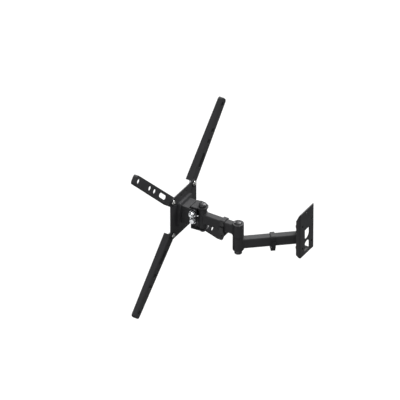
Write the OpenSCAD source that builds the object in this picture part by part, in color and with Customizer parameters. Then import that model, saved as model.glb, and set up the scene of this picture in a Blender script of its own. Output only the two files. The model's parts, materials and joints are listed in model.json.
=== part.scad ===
// Full motion television wall mount: a wall plate, two steel arms on an elbow, a tilting head and
// a square screen plate with four adapter arms. Millimetres, +Z up. The origin is the centre of the
// four wall anchor holes, on the wall, and the mount reaches out from the wall along -Y.

/* [Wall plate] */
// Width of the wall plate
plate_w = 68; // [64:1:100]
// Height of the wall plate
plate_h = 130.5; // [124:1:170]
// Thickness of the wall plate's sheet
plate_t = 3; // [2.5:0.1:3.5]
// Depth of the wall plate's side flanges, from the wall
flange_d = 12; // [8:0.1:12.5]
// Spacing of the anchor holes across the plate
anchor_dx = 44; // [40:1:46]
// Spacing of the anchor holes up the plate
anchor_dz = 66; // [60:1:80]
// Height of plate above the upper anchor holes
anchor_top = 40.5; // [38:0.5:60]
// Diameter of the wall anchor holes
anchor_d = 7; // [5:0.5:8]
// Distance from the top edge to the single top hole
top_hole_drop = 9.5; // [7:0.5:16]
// Height of the arm's pivot below the anchor centre
arm_drop = 16.5; // [10:0.5:18]

/* [Pivots] */
// Distance from the wall to the wall pivot
pivot_off = 19; // [18.7:0.1:26]
// Clear height between two pivot ears
ear_gap = 61; // [58:1:66]
// Thickness of the swivel fork's sheet and the pivot ears
ear_t = 3; // [2.5:0.1:4]
// Radius of the wall plate's ears
wall_ear_r = 12.5; // [12:0.1:14]
// Diameter of the pivot bolts
bolt_d = 8; // [6:0.5:8]
// Running clearance round a pivot bolt, on the radius
run_gap = 0.08; // [0.03:0.01:0.1]
// Outside radius of the barrels at the wall and at the head
end_barrel_r = 11; // [10.5:0.1:11.4]
// Outside radius of the two elbow barrels
elbow_barrel_r = 14.3; // [12.5:0.1:17]
// Height of each elbow barrel
elbow_barrel_h = 38; // [36:1:50]
// Thickness of a nylon bush's flange
bush_flange = 0.8; // [0.8:0.1:1.4]
// Air between faces that turn on each other
face_gap = 0.2; // [0.15:0.05:0.4]

/* [Arms] */
// Length of the inner arm, pivot to pivot
inner_len = 158; // [130:1:200]
// Length of the outer arm, pivot to pivot
outer_len = 104; // [90:1:160]
// Width of the arm tubes
tube_w = 20; // [16:0.5:20]
// Height of the arm tubes
tube_h = 28; // [24:0.5:34]
// Wall thickness of the arm tubes
tube_t = 2; // [1.5:0.1:3]
// Swing of the inner arm from straight out, as stored
inner_swing = 40.3; // [-60:0.1:60]
// Direction of the outer arm from straight out, as stored
outer_swing = 0; // [-45:0.1:45]

/* [Cable clips] */
// Width of a cable clip along the arm
clip_w = 11.5; // [8:0.5:20]
// Thickness of a cable clip's band
clip_t = 2.6; // [2:0.1:3.5]
// Clear width of a clip's cable channel
channel_w = 17; // [12:0.5:20]
// Clear height of a clip's cable channel
channel_h = 9; // [8:0.5:16]
// Place of the inner arm's clip, from the wall pivot
inner_clip_at = 71; // [55:1:90]
// Place of the outer arm's clip, from the elbow
outer_clip_at = 41; // [34:1:55]

/* [Head] */
// Width of the swivel fork
fork_w = 33; // [32:0.5:38]
// Distance from the head pivot to the fork's screen side
fork_depth = 25; // [24.5:0.5:30]
// Radius of the fork's ears
fork_ear_r = 14.3; // [13:0.1:16]
// Distance from the head pivot to the tilt bolt
tilt_out = 16; // [15.8:0.1:17]
// Height of the tilt bolt above the arm's centre
tilt_up = 17.6; // [16:0.1:19]
// Distance from the tilt bolt down to the tilt lock bolt
lock_drop = 22; // [20:0.5:24]
// Tilt each way from upright, in degrees
tilt_range = 15; // [5:1:15]
// Thickness of the tilt bracket's sheet
bracket_t = 3; // [2.5:0.1:4]
// Height of the tilt bracket
bracket_h = 52; // [48:1:56]
// Distance from the tilt bolt to the bracket's screen side
bracket_reach = 33; // [32:0.1:40]
// Width of the carrier pan
carrier_w = 60; // [56:1:66]
// Height of the carrier pan
carrier_h = 70; // [66:1:76]
// Thickness of the carrier pan's sheet
pan_sheet = 2.5; // [2:0.1:3]
// Depth of the carrier pan
carrier_t = 7; // [6.5:0.1:9]

/* [Screen plate] */
// Side of the square screen plate
screen_w = 122; // [118:1:140]
// Thickness of the screen plate
screen_t = 2.5; // [2:0.1:4]
// Height of the screen plate's centre above the arm's centre
screen_rise = 3; // [2:0.5:6]
// Spacing of the screen plate's corner bolts
corner_pitch = 100; // [98:1:106]
// Spacing of the small screen fixing holes
small_pitch = 75; // [74:1:78]
// Diameter of the small screen fixing holes
small_hole_d = 5; // [4:0.5:6]

/* [Adapter arms] */
// Hole spacing that the adapter arms reach, both ways
reach_pitch = 400; // [380:10:460]
// Hole spacing of the arms' middle holes, both ways
middle_pitch = 300; // [290:5:310]
// Width of an adapter arm
adapter_w = 26; // [21:0.5:28]
// Thickness of an adapter arm's sheet
adapter_t = 2; // [1.5:0.1:2.5]
// Depth of an adapter arm at the screen plate
adapter_d = 17.6; // [14:0.1:22]
// Depth of an adapter arm at its tip
adapter_tip_d = 11.2; // [6:0.1:13.5]
// Diameter of an adapter arm's screw holes
screw_hole_d = 12; // [8:0.5:13]
// Length of an adapter arm's long slot
long_slot = 40; // [30:1:46]
// Diameter of the adapter bolts
corner_bolt_d = 6; // [5:0.5:6]

/* [Hidden] */
$fn = 64;

// Cutting tools reach this far past a face, so that no cut ends on it.
past = 1;
plate_top = anchor_dz / 2 + anchor_top;
plate_bottom = plate_top - plate_h;
bend_r = plate_t + 1;
// The flange's upper corner slopes away over this height, and the lower one over less.
flange_slope_top = 22;
flange_slope_bottom = 9;
plate_corner_r = 3;
// Height of the steel left between the two windows that the ears are cut from.
window_web = 5.4;
// Outside radius of the bend between the plate and an ear.
ear_bend = ear_t + 0.6;

// Standard hexagon sizes follow the bolt: across flats, head height and lock nut height.
bolt_r = bolt_d / 2;
hex_af = bolt_d * 13 / 8;
hex_r = hex_af / sqrt(3);
head_h = bolt_d * 0.66;
nut_h = bolt_d;
bolt_end = 1.5;
hole_r = bolt_r + run_gap;

// Pivot stack at the wall and at the head, up from the arm's centre.
ear_in = ear_gap / 2;
ear_out = ear_in + ear_t;
end_bush_flange = 1.2;
end_barrel_h = ear_gap - 2 * (end_bush_flange + face_gap);
end_bore_r = bolt_r + 3;
end_bush_r = bolt_r + run_gap;
bush_len = 14;

// Elbow stack. The outer arm rides on the inner one, a barrel and two bush flanges higher.
elbow_lift = elbow_barrel_h + 2 * bush_flange + face_gap;
elbow_bore_r = hex_r + 2;
washer_t = 1.2;
cap_wall = 1.1;
// Depth of the well that the elbow bolt's head sits in.
head_well = head_h + washer_t + 1.6;
elbow_cap_r = elbow_bore_r - face_gap;
elbow_cap_dome = 3;
elbow_cap_rise = 1.6;
bottom_cap_r = hex_r + 1.3 + cap_wall;
bottom_cap_h = washer_t + nut_h + bolt_end + 2.4;
pivot_cap_r = hex_r + 1.4 + cap_wall;
pivot_cap_dome = 3.4;

// Clip placing: the channel hangs under the tube on the clip's own hook.
clip_slack = 0.3;
hook_gap = 5;

// Head, from the head pivot towards the screen along -Y and from the arm's centre up.
side_gap = 0.9;
bracket_in = fork_w / 2 + side_gap;
bracket_out = bracket_in + bracket_t;
lock_end_r = 8;
side_round = 6;
lock_z = tilt_up - lock_drop;
bracket_back = tilt_out + bracket_reach;
bracket_top = screen_rise + bracket_h / 2;
bracket_bottom = screen_rise - bracket_h / 2;
// The bracket's top wall stops short of the fork by its swing at full tilt.
top_wall_front = fork_depth + 4.8;
fork_flange_front = 9;
friction_washer_r = 9;
disc_r = 12.5;
disc_t = 2;
plain_washer_r = 9;
plain_washer_t = 1.5;
lock_seat = bracket_out + face_gap + plain_washer_t;
tilt_seat = lock_seat + disc_t;
carrier_back = bracket_back + carrier_t;
screen_back = carrier_back + screen_t;
bracket_bolt_d = 6;
bracket_bolt_dx = 20;
bracket_bolt_dz = 26;
bracket_nut_h = 3.2;
pan_corner_r = 4;
row_pitch = 24;
screen_corner_r = 9;

// Adapter arm, along its own length from the corner bolt.
corner_bolt_r = corner_bolt_d / 2;
corner_hole_r = corner_bolt_r + run_gap;
tip_hole_at = (reach_pitch - corner_pitch) / sqrt(2);
middle_hole_at = (middle_pitch - corner_pitch) / sqrt(2);
// The near hole is for a pattern as wide as the middle one and 100 mm lower.
near_hole_at = norm([(middle_pitch - corner_pitch) / 2, (middle_pitch - 100 - corner_pitch) / 2]);
long_slot_at = 61.4;
tip_margin = 15.5;
adapter_len = tip_hole_at + tip_margin;
tongue_len = 14;
tongue_r = adapter_w / 2;
flange_from = 2;
tip_corner_r = 8;
adapter_face = screen_back + face_gap;
adapter_washer_r = 9;
adapter_washer_t = 1.2;
adapter_head_r = 7;
adapter_head_h = 4;
adapter_nut_af = 10;
adapter_nut_h = 6;

// ---- places ----

module at_wall_pivot() {
    translate([0, -pivot_off, -arm_drop]) children();
}

module at_inner_arm() {
    at_wall_pivot() rotate([0, 0, inner_swing]) children();
}

module at_elbow() {
    at_inner_arm() translate([0, -inner_len, 0]) children();
}

module at_outer_arm() {
    at_elbow() translate([0, 0, elbow_lift]) rotate([0, 0, outer_swing - inner_swing]) children();
}

module at_head() {
    at_outer_arm() translate([0, -outer_len, 0]) rotate([0, 0, -outer_swing]) children();
}

module at_screen() {
    at_head() translate([0, 0, screen_rise]) children();
}

// The four corners of a square pattern in the XZ plane.
module at_corners(pitch_x, pitch_z) {
    for (sx = [-1, 1], sz = [-1, 1])
        translate([sx * pitch_x / 2, 0, sz * pitch_z / 2]) children();
}

// ---- shapes ----

module rounded(w, h, r) {
    union() {
        square([w - 2 * r, h], center = true);
        square([w, h - 2 * r], center = true);
        for (sx = [-1, 1], sy = [-1, 1])
            translate([sx * (w / 2 - r), sy * (h / 2 - r)]) circle(r);
    }
}

// A prism that runs from y = 0 towards the screen, from a shape drawn as x and z.
module towards_screen(depth) {
    rotate([90, 0, 0]) linear_extrude(depth) children();
}

// A hole right through along Y, from front to back.
module drill_y(r, front, back) {
    translate([0, back, 0]) rotate([90, 0, 0]) cylinder(r = r, h = back - front);
}

module ring(r_out, r_in, h) {
    difference() {
        cylinder(r = r_out, h = h);
        translate([0, 0, -past]) cylinder(r = r_in, h = h + 2 * past);
    }
}

// The part of a ball that stands on a circle of radius r, h high.
module dome(r, h) {
    ball_r = (r * r + h * h) / (2 * h);
    intersection() {
        translate([0, 0, h - ball_r]) sphere(ball_r);
        cylinder(r = r, h = h);
    }
}

module hexagon(af, h) {
    cylinder(r = af / sqrt(3), h = h, $fn = 6);
}

// A hexagon with its outer corners turned off at one end.
module turned_hexagon(af, h) {
    intersection() {
        hexagon(af, h);
        union() {
            cylinder(r = af / sqrt(3) + past, h = h * 0.82);
            translate([0, 0, h * 0.82]) cylinder(r1 = af / sqrt(3), r2 = af / 2 * 0.92, h = h * 0.18);
        }
    }
}

// A bolt with its head's seat at z = 0 and its shank running down.
module hex_bolt(r, len, af, head) {
    union() {
        turned_hexagon(af, head);
        translate([0, 0, -len]) cylinder(r = r, h = len);
    }
}

// A lock nut standing on z = 0, with the round collar that holds its nylon ring on top.
module lock_nut(r, af, h) {
    difference() {
        union() {
            hexagon(af, h * 0.75);
            cylinder(r = af / 2 * 0.94, h = h);
        }
        translate([0, 0, -past]) cylinder(r = r, h = h + 2 * past);
    }
}

// A round cap with a domed top, hollow from below.
module domed_cap(r, skirt, dome_h, hollow_h) {
    difference() {
        union() {
            cylinder(r = r, h = skirt);
            translate([0, 0, skirt]) dome(r, dome_h);
        }
        translate([0, 0, -past]) cylinder(r = r - cap_wall, h = hollow_h + past);
    }
}

// A flanged nylon bush, with its flange's outer face at z = 0 and its sleeve running down.
module bush(r_flange, r_sleeve, flange) {
    difference() {
        union() {
            translate([0, 0, -flange]) cylinder(r = r_flange, h = flange);
            translate([0, 0, -flange - bush_len]) cylinder(r = r_sleeve, h = bush_len + flange);
        }
        translate([0, 0, -flange - bush_len - past])
            cylinder(r = end_bush_r, h = flange + bush_len + 2 * past);
    }
}

module upside_down() {
    rotate([180, 0, 0]) children();
}

// ---- wall plate ----

// The folded sheet seen from above: a face and two side flanges with rounded bends.
module plate_section() {
    difference() {
        union() {
            translate([-plate_w / 2, -flange_d]) square([plate_w, flange_d - bend_r]);
            translate([-plate_w / 2 + bend_r, -flange_d]) square([plate_w - 2 * bend_r, flange_d]);
            for (s = [-1, 1]) translate([s * (plate_w / 2 - bend_r), -bend_r]) circle(bend_r);
        }
        translate([-plate_w / 2 + plate_t, -flange_d - past])
            square([plate_w - 2 * plate_t, flange_d - plate_t + past]);
    }
}

// What is cut from the flanges' ends, seen from the side.
module flange_slopes() {
    rotate([90, 0, 90]) translate([0, 0, -plate_w / 2 - past]) linear_extrude(plate_w + 2 * past) {
        polygon([
            [-plate_t, plate_top + past], [-plate_t, plate_top],
            [-flange_d - past, plate_top - flange_slope_top], [-flange_d - past, plate_top + past]
        ]);
        polygon([
            [-plate_t, plate_bottom - past], [-plate_t, plate_bottom],
            [-flange_d - past, plate_bottom + flange_slope_bottom],
            [-flange_d - past, plate_bottom - past]
        ]);
    }
}

// The window that one ear was cut from: straight at the bend, round where the ear's tip was.
module ear_window() {
    translate([-wall_ear_r, window_web / 2 + wall_ear_r])
        square([2 * wall_ear_r, ear_in + ear_bend - window_web / 2 - wall_ear_r]);
    translate([0, window_web / 2 + wall_ear_r]) circle(wall_ear_r);
}

// One ear of the wall plate, bent out from the top of its window.
module wall_ear() {
    translate([0, 0, ear_in]) linear_extrude(ear_t) difference() {
        union() {
            translate([0, -pivot_off]) circle(wall_ear_r);
            translate([-wall_ear_r, -pivot_off]) square([2 * wall_ear_r, pivot_off - ear_bend]);
        }
        translate([0, -pivot_off]) circle(hole_r);
    }
    translate([-wall_ear_r, -ear_bend, ear_in + ear_bend]) rotate([0, 90, 0])
        linear_extrude(2 * wall_ear_r) intersection() {
            difference() {
                circle(ear_bend);
                circle(ear_bend - ear_t);
            }
            square(ear_bend);
        }
}

module wall_plate() {
    color("dimgray") {
        difference() {
            intersection() {
                translate([0, 0, plate_bottom]) linear_extrude(plate_h) plate_section();
                translate([0, past, plate_bottom + plate_h / 2])
                    towards_screen(flange_d + 2 * past) rounded(plate_w, plate_h, plate_corner_r);
            }
            flange_slopes();
            translate([0, past, -arm_drop]) towards_screen(plate_t + 2 * past) {
                ear_window();
                mirror([0, 1]) ear_window();
            }
            at_corners(anchor_dx, anchor_dz) drill_y(anchor_d / 2, -plate_t - past, past);
            translate([0, 0, plate_top - top_hole_drop]) drill_y(anchor_d / 2, -plate_t - past, past);
        }
        translate([0, 0, -arm_drop]) {
            wall_ear();
            mirror([0, 0, 1]) wall_ear();
        }
    }
}

module wall_pivot_bolt() {
    color("silver") at_wall_pivot() translate([0, 0, ear_out])
        hex_bolt(bolt_r, 2 * ear_out + nut_h + bolt_end, hex_af, head_h);
}

module wall_pivot_nut() {
    color("silver") at_wall_pivot() translate([0, 0, -ear_out])
        upside_down() lock_nut(bolt_r, hex_af, nut_h);
}

module wall_pivot_cap() {
    color("black") at_wall_pivot() translate([0, 0, ear_out])
        domed_cap(pivot_cap_r, head_h + 0.4, pivot_cap_dome, head_h + 0.2);
}

// ---- arms ----

// A tube between two barrels, coped to fit round both.
module arm_tube(len, start_r, end_r) {
    difference() {
        towards_screen(len) difference() {
            rounded(tube_w, tube_h, tube_t + 1);
            rounded(tube_w - 2 * tube_t, tube_h - 2 * tube_t, 1);
        }
        translate([0, 0, -tube_h]) cylinder(r = start_r, h = 2 * tube_h);
        translate([0, -len, -tube_h]) cylinder(r = end_r, h = 2 * tube_h);
    }
}

module end_barrel() {
    translate([0, 0, -end_barrel_h / 2]) ring(end_barrel_r, end_bore_r, end_barrel_h);
}

module elbow_barrel() {
    translate([0, 0, -elbow_barrel_h / 2]) ring(elbow_barrel_r, elbow_bore_r, elbow_barrel_h);
}

// Two flanged bushes, one pressed into each end of an end barrel.
module end_bushes() {
    for (flip = [0, 180])
        rotate([flip, 0, 0]) translate([0, 0, end_barrel_h / 2 + end_bush_flange])
            bush(end_barrel_r - 0.4, end_bore_r, end_bush_flange);
}

module inner_arm_tube() {
    color("dimgray") at_inner_arm() arm_tube(inner_len, end_barrel_r, elbow_barrel_r);
}

module inner_arm_wall_barrel() {
    color("dimgray") at_inner_arm() end_barrel();
}

module inner_arm_elbow_barrel() {
    color("dimgray") at_elbow() elbow_barrel();
}

module wall_pivot_bushes() {
    color("black") at_inner_arm() end_bushes();
}

// The elbow's flanged bushes meet between the barrels. The plain ones sit at the far ends.
module elbow_flanged_bush() {
    translate([0, 0, elbow_barrel_h / 2 + bush_flange])
        bush(elbow_barrel_r - 0.5, elbow_bore_r, bush_flange);
}

module elbow_lower_bushes() {
    color("black") at_elbow() {
        elbow_flanged_bush();
        translate([0, 0, -elbow_barrel_h / 2]) ring(elbow_bore_r, end_bush_r, bush_len);
    }
}

module elbow_upper_bushes() {
    color("black") at_outer_arm() {
        upside_down() elbow_flanged_bush();
        translate([0, 0, elbow_barrel_h / 2 - head_well - bush_len])
            ring(elbow_bore_r, end_bush_r, bush_len);
    }
}

// Height of the elbow bolt's seat above the inner arm's centre, and its foot below it.
elbow_seat = elbow_lift + elbow_barrel_h / 2 - head_well + washer_t + face_gap;
elbow_foot = -elbow_barrel_h / 2 - washer_t;

module elbow_bolt() {
    color("silver") at_elbow() translate([0, 0, elbow_seat])
        hex_bolt(bolt_r, elbow_seat - elbow_foot + nut_h + bolt_end, hex_af, head_h);
}

module elbow_washers() {
    color("silver") at_elbow() {
        translate([0, 0, elbow_seat - washer_t]) ring(hex_r, hole_r, washer_t);
        translate([0, 0, elbow_foot]) ring(hex_r, hole_r, washer_t);
    }
}

module elbow_nut() {
    color("silver") at_elbow() translate([0, 0, elbow_foot])
        upside_down() lock_nut(bolt_r, hex_af, nut_h);
}

// A cap pushed over the bolt's head. Its dome stands out of the barrel's well.
module elbow_top_cap() {
    skirt = elbow_lift + elbow_barrel_h / 2 + elbow_cap_rise - elbow_seat;
    color("black") at_elbow() translate([0, 0, elbow_seat])
        domed_cap(elbow_cap_r, skirt, elbow_cap_dome, head_h);
}

module elbow_bottom_cap() {
    color("black") at_elbow() translate([0, 0, -elbow_barrel_h / 2]) upside_down()
        domed_cap(bottom_cap_r, bottom_cap_h - 1.2, 1.2, washer_t + nut_h + bolt_end + 0.3);
}

module outer_arm_tube() {
    color("dimgray") at_outer_arm() arm_tube(outer_len, elbow_barrel_r, end_barrel_r);
}

module outer_arm_elbow_barrel() {
    color("dimgray") at_outer_arm() elbow_barrel();
}

module outer_arm_head_barrel() {
    color("dimgray") at_outer_arm() translate([0, -outer_len, 0]) end_barrel();
}

module head_pivot_bushes() {
    color("black") at_outer_arm() translate([0, -outer_len, 0]) end_bushes();
}

// A band round the tube, a thicker grip on one side and an open cable channel underneath.
module cable_clip() {
    in_w = tube_w + 2 * clip_slack;
    in_h = tube_h + 2 * clip_slack;
    out_w = in_w + 2 * clip_t;
    out_h = in_h + 2 * clip_t;
    hook_w = channel_w + 2 * clip_t;
    hook_h = channel_h + 2 * clip_t;
    grip_t = 3.6;
    translate([0, clip_w / 2, 0]) towards_screen(clip_w) difference() {
        union() {
            rounded(out_w, out_h, tube_t + 3);
            translate([out_w / 2 - tube_t - 3, -out_h / 2]) square([tube_t + 3 + grip_t, out_h / 2]);
            translate([0, -in_h / 2 - hook_h / 2]) rounded(hook_w, hook_h, 3);
        }
        rounded(in_w, in_h, tube_t + 1);
        translate([0, -out_h / 2 - channel_h / 2]) rounded(channel_w, channel_h, 1.5);
        translate([-hook_w / 2 - past, -out_h / 2 - channel_h])
            square([clip_t + 2 * past, hook_gap]);
    }
}

module inner_cable_clip() {
    color("black") at_inner_arm() translate([0, -inner_clip_at, 0]) cable_clip();
}

module outer_cable_clip() {
    color("black") at_outer_arm() translate([0, -outer_clip_at, 0]) cable_clip();
}

// ---- head ----

// One ear of the fork, seen from above.
module fork_ear_plan() {
    difference() {
        union() {
            circle(fork_ear_r);
            polygon([
                [-fork_ear_r, 0], [fork_ear_r, 0],
                [fork_w / 2, -fork_depth], [-fork_w / 2, -fork_depth]
            ]);
        }
        circle(hole_r);
    }
}

// The tilt bolt and the lock bolt cross the head from side to side.
module at_tilt_bolt() {
    translate([0, -tilt_out, tilt_up]) children();
}

module at_lock_bolt() {
    translate([0, -tilt_out, lock_z]) children();
}

module drill_x(r, half) {
    rotate([0, 90, 0]) translate([0, 0, -half]) cylinder(r = r, h = 2 * half);
}

module swivel_fork() {
    color("dimgray") at_head() difference() {
        union() {
            translate([0, 0, ear_in]) linear_extrude(ear_t) fork_ear_plan();
            translate([0, 0, -ear_out]) linear_extrude(ear_t) fork_ear_plan();
            translate([-fork_w / 2, -fork_depth, -ear_out]) cube([fork_w, ear_t, 2 * ear_out]);
            for (s = [-1, 1])
                translate([s * (fork_w / 2 - ear_t / 2) - ear_t / 2, -fork_depth, lock_z - 10])
                    cube([ear_t, fork_depth - fork_flange_front, ear_out - lock_z + 10]);
        }
        at_tilt_bolt() drill_x(hole_r, fork_w);
        at_lock_bolt() drill_x(hole_r, fork_w);
    }
}

module head_pivot_bolt() {
    color("silver") at_head() translate([0, 0, ear_out])
        hex_bolt(bolt_r, 2 * ear_out + nut_h + bolt_end, hex_af, head_h);
}

module head_pivot_nut() {
    color("silver") at_head() translate([0, 0, -ear_out])
        upside_down() lock_nut(bolt_r, hex_af, nut_h);
}

module head_pivot_cap() {
    color("black") at_head() translate([0, 0, ear_out])
        domed_cap(pivot_cap_r, head_h + 0.4, pivot_cap_dome, head_h + 0.2);
}

// A washer on a cross bolt, from x = from outwards on side s.
module cross_washer(s, from, r, t) {
    rotate([0, s * 90, 0]) translate([0, 0, from]) ring(r, hole_r, t);
}

// Nylon discs between the fork and the tilt bracket.
module tilt_friction_washers() {
    color("white") at_head() for (s = [-1, 1])
        at_tilt_bolt() cross_washer(s, fork_w / 2, friction_washer_r, side_gap - face_gap);
}

// A black disc on each side of the tilt bracket spreads the tilt bolt's grip.
module tilt_discs() {
    color("black") at_head() at_tilt_bolt() for (s = [-1, 1])
        cross_washer(s, bracket_out + face_gap, disc_r, disc_t);
}

// Bright washers under both cross bolts: on the discs above, and on the bracket below.
module tilt_plain_washers() {
    color("silver") at_head() for (s = [-1, 1]) {
        at_tilt_bolt() cross_washer(s, bracket_out + face_gap + disc_t, plain_washer_r, plain_washer_t);
        at_lock_bolt() cross_washer(s, bracket_out + face_gap, plain_washer_r, plain_washer_t);
    }
}

// A bolt across the head, with its head on side s and its seat that far out.
module cross_bolt(s, seat) {
    rotate([0, s * 90, 0]) translate([0, 0, seat])
        hex_bolt(bolt_r, 2 * seat + nut_h + bolt_end, hex_af, head_h);
}

module cross_nut(s, seat) {
    rotate([0, s * 90, 0]) translate([0, 0, seat]) lock_nut(bolt_r, hex_af, nut_h);
}

module tilt_pivot_bolt() {
    color("silver") at_head() at_tilt_bolt() cross_bolt(-1, tilt_seat);
}

module tilt_pivot_nut() {
    color("silver") at_head() at_tilt_bolt() cross_nut(1, tilt_seat);
}

module tilt_lock_bolt() {
    color("silver") at_head() at_lock_bolt() cross_bolt(1, lock_seat);
}

module tilt_lock_nut() {
    color("silver") at_head() at_lock_bolt() cross_nut(-1, lock_seat);
}

// One side of the tilt bracket, drawn as y and z, with round corners by the two cross bolts.
module bracket_side() {
    front_low = lock_z - lock_end_r;
    union() {
        polygon([
            [-bracket_back, bracket_bottom], [-bracket_back, bracket_top],
            [-tilt_out, bracket_top], [-tilt_out, front_low]
        ]);
        translate([-tilt_out - side_round, (bracket_top + front_low) / 2])
            rounded(2 * (lock_end_r + side_round), bracket_top - front_low, side_round);
    }
}

// The curved slot that the lock bolt runs in, round the tilt bolt.
module lock_slot() {
    slot_r = bolt_r + 0.35;
    // The ends are cut a hair smaller, so that their edges cross the slot's sides cleanly.
    end_r = slot_r - 0.02;
    difference() {
        circle(lock_drop + slot_r);
        circle(lock_drop - slot_r);
        for (s = [-1, 1])
            rotate(s * tilt_range) translate([s > 0 ? 0 : -2 * lock_drop, -2 * lock_drop])
                square([2 * lock_drop, 4 * lock_drop]);
        translate([-2 * lock_drop, 0]) square([4 * lock_drop, 2 * lock_drop]);
    }
    for (s = [-1, 1]) rotate(s * tilt_range) translate([0, -lock_drop]) circle(end_r);
}

module tilt_bracket() {
    color("dimgray") at_head() difference() {
        union() {
            for (s = [-1, 1])
                translate([s > 0 ? bracket_in : -bracket_out, 0, 0])
                    rotate([90, 0, 90]) linear_extrude(bracket_t) bracket_side();
            translate([-bracket_out, -bracket_back, bracket_bottom])
                cube([2 * bracket_out, bracket_t, bracket_h]);
            translate([-bracket_out, -bracket_back, bracket_top - bracket_t])
                cube([2 * bracket_out, bracket_back - top_wall_front, bracket_t]);
        }
        at_tilt_bolt() drill_x(hole_r, bracket_out + past);
        at_tilt_bolt() rotate([90, 0, 90]) translate([0, 0, -bracket_out - past])
            linear_extrude(2 * (bracket_out + past)) lock_slot();
        translate([0, 0, screen_rise]) at_corners(bracket_bolt_dx, bracket_bolt_dz)
            drill_y(bracket_bolt_d / 2, -bracket_back - past, -bracket_back + bracket_t + past);
    }
}

// A pan whose lips are welded to the screen plate, and whose face carries the tilt bracket.
module carrier_pan() {
    color("gray") at_screen() difference() {
        translate([0, -bracket_back, 0]) towards_screen(carrier_t)
            rounded(carrier_w, carrier_h, pan_corner_r);
        translate([0, -bracket_back - pan_sheet, 0]) towards_screen(carrier_t)
            rounded(carrier_w - 2 * pan_sheet, carrier_h - 2 * pan_sheet, pan_corner_r - 1);
        at_corners(bracket_bolt_dx, bracket_bolt_dz)
            drill_y(bracket_bolt_d / 2, -carrier_back - past, -bracket_back + past);
    }
}

// Bolts that hold the bracket to the pan, with their nuts inside the pan.
module bracket_bolts() {
    color("silver") at_screen() at_corners(bracket_bolt_dx, bracket_bolt_dz)
        translate([0, -bracket_back + bracket_t, 0]) rotate([-90, 0, 0])
            hex_bolt(bracket_bolt_d / 2, bracket_t + pan_sheet + bracket_nut_h, 10, 4);
}

module bracket_nuts() {
    color("silver") at_screen() at_corners(bracket_bolt_dx, bracket_bolt_dz)
        translate([0, -bracket_back - pan_sheet, 0]) rotate([90, 0, 0])
            lock_nut(bracket_bolt_d / 2, 10, bracket_nut_h);
}

module screen_plate() {
    small_r = small_hole_d / 2;
    color("dimgray") at_screen() difference() {
        translate([0, -carrier_back, 0]) towards_screen(screen_t)
            rounded(screen_w, screen_w, screen_corner_r);
        for (pitch = [corner_pitch, small_pitch])
            at_corners(pitch, pitch)
                drill_y(pitch == corner_pitch ? corner_hole_r : small_r,
                    -screen_back - past, -carrier_back + past);
        at_corners(row_pitch, corner_pitch) drill_y(small_r, -screen_back - past, -carrier_back + past);
    }
}

// ---- adapter arms ----

// Bright round-headed bolts, seated on washers on the plate's wall side.
module adapter_bolts() {
    grip = adapter_washer_t + screen_t + 2 * face_gap + adapter_t + adapter_washer_t;
    color("silver") at_screen() at_corners(corner_pitch, corner_pitch)
        translate([0, -carrier_back + adapter_washer_t, 0]) rotate([-90, 0, 0]) difference() {
            union() {
                dome(adapter_head_r, adapter_head_h);
                translate([0, 0, -grip - adapter_nut_h - 0.5])
                    cylinder(r = corner_bolt_r, h = grip + adapter_nut_h + 0.5);
            }
            translate([0, 0, 1.4]) hexagon(4, adapter_head_h);
        }
}

module adapter_washers() {
    color("black") at_screen() at_corners(corner_pitch, corner_pitch) {
        translate([0, -carrier_back, 0]) rotate([-90, 0, 0])
            ring(adapter_washer_r, corner_hole_r, adapter_washer_t);
        translate([0, -adapter_face - adapter_t - face_gap, 0]) rotate([90, 0, 0])
            ring(adapter_washer_r, corner_hole_r, adapter_washer_t);
    }
}

module adapter_nuts() {
    color("silver") at_screen() at_corners(corner_pitch, corner_pitch)
        translate([0, -adapter_face - adapter_t - face_gap - adapter_washer_t, 0])
            rotate([90, 0, 0]) lock_nut(corner_bolt_r, adapter_nut_af, adapter_nut_h);
}

// The arm seen from the side: x runs out along it and y is the depth behind the tongue's face.
module adapter_side() {
    drop = adapter_d - adapter_tip_d;
    polygon([
        [-tongue_r, 0], [tongue_len, 0], [adapter_len, -drop], [adapter_len, -adapter_d],
        [flange_from, -adapter_d], [flange_from, -adapter_t], [-tongue_r, -adapter_t]
    ]);
}

// The arm's outline seen from the wall: round at the bolt, with rounded corners at the tip.
module adapter_plan(w, skin) {
    r = tip_corner_r - skin;
    union() {
        circle(tongue_r);
        translate([0, -w / 2]) square([adapter_len - skin - r, w]);
        translate([0, -w / 2 + r]) square([adapter_len - skin, w - 2 * r]);
        for (s = [-1, 1]) translate([adapter_len - skin - r, s * (w / 2 - r)]) circle(r);
    }
}

module adapter_arm(sx, sz) {
    color("dimgray") at_screen()
        translate([sx * corner_pitch / 2, -adapter_face, sz * corner_pitch / 2])
            rotate([0, sx > 0 ? -sz * 45 : -sz * 135, 0]) difference() {
                intersection() {
                    linear_extrude(adapter_w, center = true) adapter_side();
                    translate([0, past, 0]) towards_screen(adapter_d + 2 * past)
                        adapter_plan(adapter_w, 0);
                }
                intersection() {
                    linear_extrude(adapter_w - 2 * adapter_t, center = true) adapter_hollow();
                    translate([0, past, 0]) towards_screen(adapter_d + 3 * past)
                        adapter_plan(adapter_w - 2 * adapter_t, adapter_t);
                }
                drill_y(corner_hole_r, -adapter_d, past);
                for (at = [near_hole_at, middle_hole_at, tip_hole_at])
                    translate([at, 0, 0]) drill_y(screw_hole_d / 2, -adapter_d - past, past);
                translate([long_slot_at, 0, 0]) {
                    for (s = [-1, 1])
                        translate([s * (long_slot - screw_hole_d) / 2, 0, 0])
                            drill_y(screw_hole_d / 2, -adapter_d - past, past);
                    translate([-(long_slot - screw_hole_d) / 2, -adapter_d - past, -screw_hole_d / 2])
                        cube([long_slot - screw_hole_d, adapter_d + 2 * past, screw_hole_d]);
                }
            }
}

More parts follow.
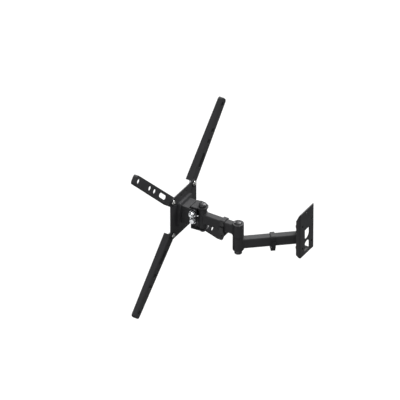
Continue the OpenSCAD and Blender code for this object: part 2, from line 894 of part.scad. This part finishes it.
// The space inside the pressed channel, open towards the screen.
module adapter_hollow() {
    drop = adapter_d - adapter_tip_d;
    polygon([
        [-tongue_r - past, -adapter_t], [tongue_len, -adapter_t],
        [adapter_len, -adapter_t - drop], [adapter_len, -adapter_d - past],
        [-tongue_r - past, -adapter_d - past]
    ]);
}

module adapter_arm_upper_right() {
    adapter_arm(1, 1);
}

module adapter_arm_upper_left() {
    adapter_arm(-1, 1);
}

module adapter_arm_lower_left() {
    adapter_arm(-1, -1);
}

module adapter_arm_lower_right() {
    adapter_arm(1, -1);
}

wall_plate();
wall_pivot_bolt();
wall_pivot_nut();
wall_pivot_cap();
inner_arm_tube();
inner_arm_wall_barrel();
inner_arm_elbow_barrel();
wall_pivot_bushes();
elbow_lower_bushes();
elbow_bolt();
elbow_washers();
elbow_nut();
elbow_top_cap();
elbow_bottom_cap();
inner_cable_clip();
outer_arm_tube();
outer_arm_elbow_barrel();
outer_arm_head_barrel();
elbow_upper_bushes();
head_pivot_bushes();
outer_cable_clip();
swivel_fork();
head_pivot_bolt();
head_pivot_nut();
head_pivot_cap();
tilt_friction_washers();
tilt_pivot_bolt();
tilt_pivot_nut();
tilt_lock_bolt();
tilt_lock_nut();
tilt_discs();
tilt_plain_washers();
tilt_bracket();
carrier_pan();
bracket_bolts();
bracket_nuts();
screen_plate();
adapter_bolts();
adapter_washers();
adapter_nuts();
adapter_arm_upper_right();
adapter_arm_upper_left();
adapter_arm_lower_left();
adapter_arm_lower_right();
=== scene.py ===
"""Full motion television wall mount: the finishes, the welds and the moulded caps around the frame."""
import json
import math

import bmesh
import bpy
from mathutils import Matrix, Vector


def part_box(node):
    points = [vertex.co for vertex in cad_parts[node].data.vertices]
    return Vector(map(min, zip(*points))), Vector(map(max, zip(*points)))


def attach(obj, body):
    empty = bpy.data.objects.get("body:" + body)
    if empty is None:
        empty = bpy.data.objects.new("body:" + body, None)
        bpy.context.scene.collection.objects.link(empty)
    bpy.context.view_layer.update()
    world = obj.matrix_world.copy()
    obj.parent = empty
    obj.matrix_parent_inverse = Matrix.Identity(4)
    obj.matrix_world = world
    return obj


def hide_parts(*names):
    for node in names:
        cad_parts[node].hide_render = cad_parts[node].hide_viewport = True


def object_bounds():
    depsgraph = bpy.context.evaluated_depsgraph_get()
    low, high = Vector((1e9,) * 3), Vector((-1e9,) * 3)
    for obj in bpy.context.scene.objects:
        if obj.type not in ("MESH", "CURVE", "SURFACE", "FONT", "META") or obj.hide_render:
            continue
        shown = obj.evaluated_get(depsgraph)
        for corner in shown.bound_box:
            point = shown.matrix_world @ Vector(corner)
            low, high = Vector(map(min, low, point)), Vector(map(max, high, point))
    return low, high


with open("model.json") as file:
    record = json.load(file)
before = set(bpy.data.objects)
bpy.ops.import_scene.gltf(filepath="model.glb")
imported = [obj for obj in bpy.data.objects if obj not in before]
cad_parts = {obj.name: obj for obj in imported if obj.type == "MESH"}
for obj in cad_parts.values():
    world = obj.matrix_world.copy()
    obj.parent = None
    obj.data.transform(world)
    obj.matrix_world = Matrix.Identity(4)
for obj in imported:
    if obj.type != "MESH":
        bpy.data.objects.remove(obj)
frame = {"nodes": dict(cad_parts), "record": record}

cad_low, cad_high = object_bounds()

MM = 0.001
NODES = frame["nodes"]


def centre_of(node):
    low, high = (Vector(corner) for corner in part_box(node))
    return (low + high) / 2


def size_of(node):
    low, high = (Vector(corner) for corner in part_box(node))
    return high - low


# ---- camera ----

# The mount is seen from above and from the left of someone facing the screen's back.
CAMERA_AZIMUTH = math.radians(121.47)
CAMERA_ELEVATION = math.radians(34.77)
# A long lens from far off keeps parallel edges parallel, as a drawing does.
LENS = 900.0
SENSOR = 36.0
CLIP_NEAR = 0.1
CLIP_FAR = 200.0
FIELD_WIDTH = 1002.5 * MM
# How far the picture's middle lies from the screen plate's middle, to the right and up.
MIDDLE_RIGHT = 44.9 * MM
MIDDLE_UP = 22.1 * MM
# The aim is this far out from the screen plate's outer face.
AIM_PROUD = 2.2 * MM


def set_camera():
    level = math.cos(CAMERA_ELEVATION)
    back = Vector((math.sin(CAMERA_AZIMUTH) * level, -math.cos(CAMERA_AZIMUTH) * level,
                   math.sin(CAMERA_ELEVATION)))
    right = Vector((math.cos(CAMERA_AZIMUTH), math.sin(CAMERA_AZIMUTH), 0))
    up = back.cross(right)
    plate_middle = centre_of("screen_plate")
    plate_middle.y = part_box("screen_plate")[0][1] - AIM_PROUD
    aim = plate_middle + right * MIDDLE_RIGHT + up * MIDDLE_UP
    data = bpy.data.cameras.new("camera")
    data.lens = LENS
    data.sensor_width = SENSOR
    distance = FIELD_WIDTH * LENS / SENSOR
    data.clip_start = CLIP_NEAR
    data.clip_end = CLIP_FAR
    camera = bpy.data.objects.new("camera", data)
    bpy.context.collection.objects.link(camera)
    camera.location = aim + back * distance
    camera.rotation_mode = "QUATERNION"
    camera.rotation_quaternion = back.to_track_quat("Z", "Y")
    bpy.context.scene.camera = camera


set_camera()

# ---- materials ----


def linear(code):
    """A colour written as sRGB hex digits, turned to linear red, green, blue and alpha."""
    channels = [int(code[i:i + 2], 16) / 255 for i in (0, 2, 4)]
    straight = [c / 12.92 if c <= 0.04045 else ((c + 0.055) / 1.055) ** 2.4 for c in channels]
    return (*straight, 1.0)


def add_node(tree, kind, settings=None, values=None, links=None):
    """Adds one node, with its own settings, its sockets' values and what is plugged into them."""
    node = tree.nodes.new(kind)
    for name, value in (settings or {}).items():
        setattr(node, name, value)
    for socket, value in (values or {}).items():
        node.inputs[socket].default_value = value
    for socket, source in (links or {}).items():
        tree.links.new(source, node.inputs[socket])
    return node


def new_finish(name):
    """An empty material with its surface shader and its own space in metres."""
    material = bpy.data.materials.new(name)
    material.use_nodes = True
    tree = material.node_tree
    tree.nodes.clear()
    output = add_node(tree, "ShaderNodeOutputMaterial")
    shader = add_node(tree, "ShaderNodeBsdfPrincipled")
    tree.links.new(shader.outputs["BSDF"], output.inputs["Surface"])
    place = add_node(tree, "ShaderNodeTexCoord").outputs["Object"]
    return material, tree, shader, place


def per_metre(size_mm):
    """A pattern's scale from the real size of one of its features."""
    return 1000.0 / size_mm


def soften_edges(tree, radius_mm):
    """The small round that bending, tumbling or paint leaves on every sheared edge."""
    return add_node(tree, "ShaderNodeBevel", {"samples": 4}, {"Radius": radius_mm * MM}).outputs["Normal"]


def lay_skin(tree, shader, tone, pattern, colours, spread, roughness, strength, depth_mm, edge_mm):
    """Gives the surface a pattern's two colours, its change of gloss and its shallow relief."""
    ramp = add_node(tree, "ShaderNodeValToRGB", None, None, {"Fac": tone})
    for stop, position, code in zip(ramp.color_ramp.elements, spread, colours):
        stop.position = position
        stop.color = linear(code)
    rough = add_node(tree, "ShaderNodeMapRange", None,
                     {"From Min": 0.3, "From Max": 0.7, "To Min": roughness[0], "To Max": roughness[1]},
                     {"Value": pattern})
    bump = add_node(tree, "ShaderNodeBump", None, {"Strength": strength, "Distance": depth_mm * MM},
                    {"Height": pattern, "Normal": soften_edges(tree, edge_mm)})
    tree.links.new(ramp.outputs["Color"], shader.inputs["Base Color"])
    tree.links.new(rough.outputs["Result"], shader.inputs["Roughness"])
    tree.links.new(bump.outputs["Normal"], shader.inputs["Normal"])


def powder_coated_steel(name, colours, peel_mm, roughness):
    """Sprayed and baked polyester powder: a dull skin with a fine orange peel that scatters light."""
    material, tree, shader, place = new_finish(name)
    # The skin flows out into shallow pits.
    peel = add_node(tree, "ShaderNodeTexNoise", None,
                    {"Scale": per_metre(peel_mm), "Detail": 3.0, "Roughness": 0.6}, {"Vector": place})
    # The film is a little thicker in some places, which shows as a very slow change of tone.
    film = add_node(tree, "ShaderNodeTexNoise", None,
                    {"Scale": per_metre(38.0), "Detail": 2.0, "Roughness": 0.5}, {"Vector": place})
    tone = add_node(tree, "ShaderNodeMix", {"data_type": "FLOAT"}, {0: 0.45},
                    {2: film.outputs["Fac"], 3: peel.outputs["Fac"]})
    lay_skin(tree, shader, tone.outputs[0], peel.outputs["Fac"], colours, spread=(0.3, 0.7),
             roughness=roughness, strength=0.35, depth_mm=0.06, edge_mm=0.7)
    shader.inputs["IOR"].default_value = 1.5
    return material


def plated_steel(name, colours, grain_mm, roughness, depth_mm):
    """Cold-headed steel with a thin bright metal plate: faint cloudy streaks and a clean highlight."""
    material, tree, shader, place = new_finish(name)
    cloud = add_node(tree, "ShaderNodeTexNoise", None,
                     {"Scale": per_metre(grain_mm), "Detail": 4.0, "Roughness": 0.55}, {"Vector": place})
    lay_skin(tree, shader, cloud.outputs["Fac"], cloud.outputs["Fac"], colours, spread=(0.35, 0.65),
             roughness=roughness, strength=0.2, depth_mm=depth_mm, edge_mm=0.3)
    shader.inputs["Metallic"].default_value = 1.0
    return material


def moulded_plastic(name, colours, grain_mm, roughness, depth_mm):
    """Injection-moulded plastic: one colour through, with the mould's own grain on its skin."""
    material, tree, shader, place = new_finish(name)
    grain = add_node(tree, "ShaderNodeTexNoise", None,
                     {"Scale": per_metre(grain_mm), "Detail": 3.0, "Roughness": 0.5}, {"Vector": place})
    lay_skin(tree, shader, grain.outputs["Fac"], grain.outputs["Fac"], colours, spread=(0.3, 0.7),
             roughness=roughness, strength=0.25, depth_mm=depth_mm, edge_mm=0.4)
    shader.inputs["IOR"].default_value = 1.53
    return material


# Orange peel is about 0.8 mm from crest to crest. It is drawn coarser, so that it shows.
powder = powder_coated_steel("textured_black_powder_coat", ("303032", "3a3a3c"), 2.2, (0.46, 0.6))
smooth_powder = powder_coated_steel("smooth_black_powder_coat", ("3c3c3e", "464648"), 3.0, (0.34, 0.44))
zinc = plated_steel("bright_zinc_plate", ("b4b6b8", "d2d4d6"), 1.6, (0.2, 0.34), 0.02)
nickel = plated_steel("bright_nickel_plate", ("d0d0ce", "e8e8e6"), 2.4, (0.08, 0.16), 0.01)
black_oxide = plated_steel("black_oxide_steel", ("2a2a2c", "3c3c3f"), 1.2, (0.3, 0.45), 0.02)
gloss_abs = moulded_plastic("glossy_black_abs", ("38383a", "424244"), 6.0, (0.24, 0.32), 0.02)
satin_abs = moulded_plastic("spark_textured_black_abs", ("232325", "2e2e30"), 1.0, (0.36, 0.48), 0.04)
nylon = moulded_plastic("black_nylon", ("101011", "19191a"), 1.4, (0.4, 0.52), 0.02)

FINISH = {
    "powder_coat": powder, "carrier_coat": smooth_powder, "zinc_bolt": zinc, "chrome_bolt": nickel,
    "gloss_cap": gloss_abs, "nylon": nylon, "clip_plastic": satin_abs, "black_washer": black_oxide,
}
for part in frame["record"]["subparts"]:
    cad_node = NODES[part["node"]]
    cad_node.data.materials.clear()
    cad_node.data.materials.append(FINISH[part["material_slot"]])

# ---- shapes ----

# A radius below this is a point on the axis.
ON_AXIS = 1e-7


def make_piece(name, bm, material, body):
    """Makes the visible piece, and says which body it rides on and which slot it is made of."""
    bmesh.ops.recalc_face_normals(bm, faces=bm.faces)
    mesh = bpy.data.meshes.new(name)
    bm.to_mesh(mesh)
    bm.free()
    mesh.materials.append(material)
    mesh.shade_smooth()
    piece = bpy.data.objects.new(name, mesh)
    bpy.context.collection.objects.link(piece)
    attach(piece, body)
    return piece


def lathe(bm, profile, place, steps=56):
    """Turns a closed or axis-to-axis profile of (radius, height) about Z, then puts it in place."""
    turn = [2 * math.pi * k / steps for k in range(steps)]
    rings = []
    for radius, height in profile:
        if radius < ON_AXIS:
            rings.append([bm.verts.new(place @ Vector((0, 0, height)))])
            continue
        rings.append([bm.verts.new(place @ Vector((radius * math.cos(t), radius * math.sin(t), height)))
                      for t in turn])
    pairs = list(zip(rings, rings[1:]))
    if len(rings[0]) > 1:
        pairs.append((rings[-1], rings[0]))
    for near, far in pairs:
        for k in range(steps):
            after = (k + 1) % steps
            corners = [near[k % len(near)], near[after % len(near)], far[after % len(far)], far[k % len(far)]]
            unique = list(dict.fromkeys(corners))
            if len(unique) > 2:
                bm.faces.new(unique)


# ---- weld beads ----

TUBE_CORNER = 3.0 * MM
# A fillet bead about 3 mm wide, laid in overlapping beads some 3.4 mm apart.
BEAD_RADIUS = 1.7 * MM
BEAD_RIPPLE = 0.22 * MM
BEAD_PITCH = 3.4 * MM
BEAD_SIDES = 10
# Its rings are this far apart, and its middle lies this far off the tube and the barrel.
BEAD_STEP = 0.85 * MM
OFF_TUBE = 0.2 * MM
OFF_BARREL = 0.3 * MM
CORNER_STEPS = 8


def rounded_outline(width, height, corner, step):
    """Points round a rectangle with round corners, evenly spaced."""
    spots = []
    half_w, half_h = width / 2 - corner, height / 2 - corner
    middles = [(half_w, half_h, 0), (-half_w, half_h, 90), (-half_w, -half_h, 180), (half_w, -half_h, 270)]
    for x, y, start in middles:
        for k in range(CORNER_STEPS + 1):
            t = math.radians(start + 90 * k / CORNER_STEPS)
            spots.append(Vector((x + corner * math.cos(t), y + corner * math.sin(t))))
    even = []
    carry = 0.0
    for a, b in zip(spots, spots[1:] + spots[:1]):
        length = (b - a).length
        reach = carry
        while reach < length:
            even.append(a.lerp(b, reach / length))
            reach += step
        carry = reach - length
    return even


def weld_bead(name, barrel, tube, body, away_from):
    """The bead that runs round a tube where its coped end meets a barrel."""
    middle = centre_of(barrel)
    middle.z = centre_of(tube).z
    along = away_from - middle
    along.z = 0
    along.normalize()
    side = Vector((0, 0, 1)).cross(along)
    radius = min(size_of(barrel).x, size_of(barrel).y) / 2
    tall = size_of(tube).z
    outline = rounded_outline(TUBE_WIDTH + 2 * OFF_TUBE, tall + 2 * OFF_TUBE, TUBE_CORNER, BEAD_STEP)
    path = []
    for spot in outline:
        reach = math.sqrt(max(radius * radius - spot.x * spot.x, 0)) + OFF_BARREL
        path.append(middle + along * reach + side * spot.x + Vector((0, 0, spot.y)))
    bm = bmesh.new()
    turn = [2 * math.pi * j / BEAD_SIDES for j in range(BEAD_SIDES)]
    rings = []
    run = 0.0
    for k, point in enumerate(path):
        before = path[k - 1]
        after = path[(k + 1) % len(path)]
        ahead = (after - before).normalized()
        out = (point - middle - along * (point - middle).dot(along)).normalized()
        across = ahead.cross(out).normalized()
        out = across.cross(ahead).normalized()
        run += (point - before).length if k else 0
        fat = BEAD_RADIUS + BEAD_RIPPLE * math.sin(2 * math.pi * run / BEAD_PITCH)
        rings.append([bm.verts.new(point + (out * math.cos(t) + across * math.sin(t)) * fat) for t in turn])
    for near, far in zip(rings, rings[1:] + rings[:1]):
        for j in range(BEAD_SIDES):
            beside = (j + 1) % BEAD_SIDES
            bm.faces.new([near[j], near[beside], far[beside], far[j]])
    return make_piece(name, bm, powder, body)


# The outer arm lies along Y, so its box gives the width that both tubes share.
TUBE_WIDTH = size_of("outer_arm_tube").x
wall_end = centre_of("inner_arm_wall_barrel")
elbow_low = centre_of("inner_arm_elbow_barrel")
elbow_high = centre_of("outer_arm_elbow_barrel")
head_end = centre_of("outer_arm_head_barrel")
weld_bead("inner_arm_wall_weld", "inner_arm_wall_barrel", "inner_arm_tube", "inner_arm", elbow_low)
weld_bead("inner_arm_elbow_weld", "inner_arm_elbow_barrel", "inner_arm_tube", "inner_arm", wall_end)
weld_bead("outer_arm_elbow_weld", "outer_arm_elbow_barrel", "outer_arm_tube", "outer_arm", head_end)
weld_bead("outer_arm_head_weld", "outer_arm_head_barrel", "outer_arm_tube", "outer_arm", elbow_high)

# ---- moulded caps ----

CAP_WALL = 1.1 * MM
CAP_LIP = 0.5 * MM
CROWN_STEPS = 12
# A power under one makes the crown fuller at its shoulder than an ellipse.
CROWN_FULLNESS = 0.75


def cap_profile(radius, height, skirt):
    """A hollow cap, from its flat roof down inside and up outside: a lip, a straight skirt and a crown."""
    crown = height - skirt
    inside = radius - CAP_WALL
    outside = [(inside, 0), (radius - CAP_LIP, 0), (radius, CAP_LIP), (radius, skirt - CAP_LIP)]
    for k in range(1, CROWN_STEPS):
        t = math.pi / 2 * k / CROWN_STEPS
        outside.append((radius * math.cos(t) ** CROWN_FULLNESS, skirt + crown * math.sin(t)))
    outside.append((0.0, height))
    roof = height - crown / 2 - CAP_WALL
    return [(0.0, roof), (inside, roof)] + outside


def moulded_cap(node, body, skirt_share, upside_down=False):
    """A moulding that takes the place of a plain cap, within the same box."""
    low, high = (Vector(corner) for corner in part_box(node))
    middle = (low + high) / 2
    height = high.z - low.z
    radius = (high.x - low.x) / 2
    base = Matrix.Translation((middle.x, middle.y, high.z if upside_down else low.z))
    if upside_down:
        base = base @ Matrix.Rotation(math.pi, 4, "X")
    bm = bmesh.new()
    lathe(bm, cap_profile(radius, height, height * skirt_share), base)
    cap = make_piece(node + "_moulding", bm, gloss_abs, body)
    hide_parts(node)


moulded_cap("wall_pivot_cap", "wall_bracket", 0.55)
moulded_cap("head_pivot_cap", "fork", 0.55)
moulded_cap("elbow_top_cap", "inner_arm", 0.66)
moulded_cap("elbow_bottom_cap", "inner_arm", 0.87, upside_down=True)

# ---- lock nut rings ----

RING_WALL = 1.1 * MM
RING_DEPTH = 0.8 * MM
RING_PROUD = 0.25 * MM
RING_GAP = 0.02 * MM
RING_STEPS = 40
# The ring's top edge is turned over a little less on the inside, where it grips the thread.
OUTER_TURN = 0.3 * MM
INNER_TURN = 0.2 * MM
TURN_SHARE = 0.4


def lock_rings(node, body, axis, bolt_diameter, middles):
    """The nylon ring that shows inside each lock nut's collar, round the bolt's end."""
    low, high = (Vector(corner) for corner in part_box(node))
    bm = bmesh.new()
    inner = bolt_diameter / 2 + RING_GAP
    outer = inner + RING_WALL
    shoulder = RING_PROUD * TURN_SHARE
    profile = [(inner, -RING_DEPTH), (outer, -RING_DEPTH), (outer, shoulder),
               (outer - OUTER_TURN, RING_PROUD), (inner + INNER_TURN, RING_PROUD), (inner, shoulder)]
    turn = axis.to_track_quat("Z", "Y").to_matrix().to_4x4()
    reach = [high[i] if axis[i] > 0 else low[i] for i in range(3)]
    for middle in middles:
        face = Vector([reach[i] if abs(axis[i]) > 0.5 else middle[i] for i in range(3)])
        lathe(bm, profile, Matrix.Translation(face) @ turn, RING_STEPS)
    return make_piece(node + "_nylon_rings", bm, nylon, body)


M8 = 8 * MM
M6 = 6 * MM
M6_NUT_WIDTH = 10 * MM
down = Vector((0, 0, -1))
out_x = Vector((1, 0, 0))
to_screen = Vector((0, -1, 0))
plate_centre = centre_of("screen_plate")
corner_half = (size_of("adapter_nuts").z - M6_NUT_WIDTH) / 2
corners = [plate_centre + Vector((x * corner_half, 0, z * corner_half)) for x in (-1, 1) for z in (-1, 1)]
lock_rings("wall_pivot_nut", "wall_bracket", down, M8, [centre_of("wall_pivot_nut")])
lock_rings("head_pivot_nut", "fork", down, M8, [centre_of("head_pivot_nut")])
lock_rings("tilt_pivot_nut", "fork", out_x, M8, [centre_of("tilt_pivot_nut")])
lock_rings("tilt_lock_nut", "fork", -out_x, M8, [centre_of("tilt_lock_nut")])
lock_rings("adapter_nuts", "screen_head", to_screen, M6, corners)

# ---- the floor and the light ----

FLOOR_HALF = 40.0
FLOOR_DROP = 0.9
# A little over full white, so that the ground is white and edges in front of it stay sharp.
FLOOR_BRIGHTNESS = 1.04
# The main light comes from above and from beyond the arms, so that tops shine and near sides stay dark.
MAIN_LIGHT = (-0.62, 0.12, 0.77)
MAIN_ANGLE = 50.0
MAIN_STRENGTH = 3.7
WORLD_STRENGTH = 0.27
WORLD_BRIGHT_SIDE = (0.0, 0.5, 0.87)


def lit_floor_tone(target):
    """The floor paint's linear grey that sends back the wanted brightness under the main light."""
    straight_down = Vector(MAIN_LIGHT).normalized().z
    return target / (MAIN_STRENGTH * straight_down / math.pi + WORLD_STRENGTH)


floor_z = cad_low.z - FLOOR_DROP
floor_bm = bmesh.new()
floor_corners = [(-1, -1), (1, -1), (1, 1), (-1, 1)]
floor_bm.faces.new([floor_bm.verts.new((x * FLOOR_HALF, y * FLOOR_HALF, floor_z)) for x, y in floor_corners])
floor_mesh = bpy.data.meshes.new("floor")
floor_bm.to_mesh(floor_mesh)
floor_bm.free()
floor = bpy.data.objects.new("floor", floor_mesh)
bpy.context.collection.objects.link(floor)
floor_paint, _, floor_shader, _ = new_finish("pale_studio_floor")
floor_tone = lit_floor_tone(FLOOR_BRIGHTNESS)
floor_shader.inputs["Base Color"].default_value = (floor_tone, floor_tone, floor_tone, 1.0)
floor_shader.inputs["Roughness"].default_value = 1.0
floor_shader.inputs["Specular IOR Level"].default_value = 0.0
floor_mesh.materials.append(floor_paint)
# The floor is only a pale ground to look at: it throws no light back up on the mount.
floor.visible_diffuse = False
floor.visible_glossy = False


def soft_sun(name, towards, angle, strength):
    """A large distant soft box: even light from one side, wherever the object is."""
    data = bpy.data.lights.new(name, "SUN")
    data.angle = math.radians(angle)
    data.energy = strength
    light = bpy.data.objects.new(name, data)
    bpy.context.collection.objects.link(light)
    light.rotation_mode = "QUATERNION"
    light.rotation_quaternion = Vector(towards).to_track_quat("Z", "Y")


soft_sun("main_light", MAIN_LIGHT, MAIN_ANGLE, MAIN_STRENGTH)
# Small lights that hardly lift black paint, and are there for the bright metal to mirror.
soft_sun("bolt_head_light", (-0.47, 0.86, 0.19), 24.0, 0.25)
soft_sun("bolt_end_light", (0.87, -0.25, 0.35), 24.0, 0.3)
soft_sun("top_light", (-0.70, -0.43, 0.57), 24.0, 0.15)
soft_sun("low_light", (0.74, -0.38, -0.52), 30.0, 0.36)
# The arms' near sides get a broad light of their own.
soft_sun("near_side_light", (0.93, 0.36, 0.08), 60.0, 0.78)
# The screen side is turned from the other lights, so it has a soft one of its own.
soft_sun("screen_side_light", (-0.5, -0.82, -0.28), 30.0, 2.2)

# Even light from above and behind, and about a third as much from below and from the screen's side.
world = bpy.data.worlds.new("studio")
bpy.context.scene.world = world
world.use_nodes = True
sky = world.node_tree
background = sky.nodes["Background"]
direction = add_node(sky, "ShaderNodeTexCoord").outputs["Generated"]
facing = add_node(sky, "ShaderNodeVectorMath", {"operation": "DOT_PRODUCT"},
                  {1: WORLD_BRIGHT_SIDE}, {0: direction})
share = add_node(sky, "ShaderNodeMapRange", None, {"From Min": -1.0, "From Max": 1.0},
                 {"Value": facing.outputs["Value"]})
shade = add_node(sky, "ShaderNodeValToRGB", None, None, {"Fac": share.outputs["Result"]})
for stop, position, level in zip(shade.color_ramp.elements, (0.25, 0.85), (0.3, 1.0)):
    stop.position = position
    stop.color = (level, level, level, 1.0)
sky.links.new(shade.outputs["Color"], background.inputs["Color"])
background.inputs["Strength"].default_value = WORLD_STRENGTH
bpy.context.scene.view_settings.view_transform = "Standard"
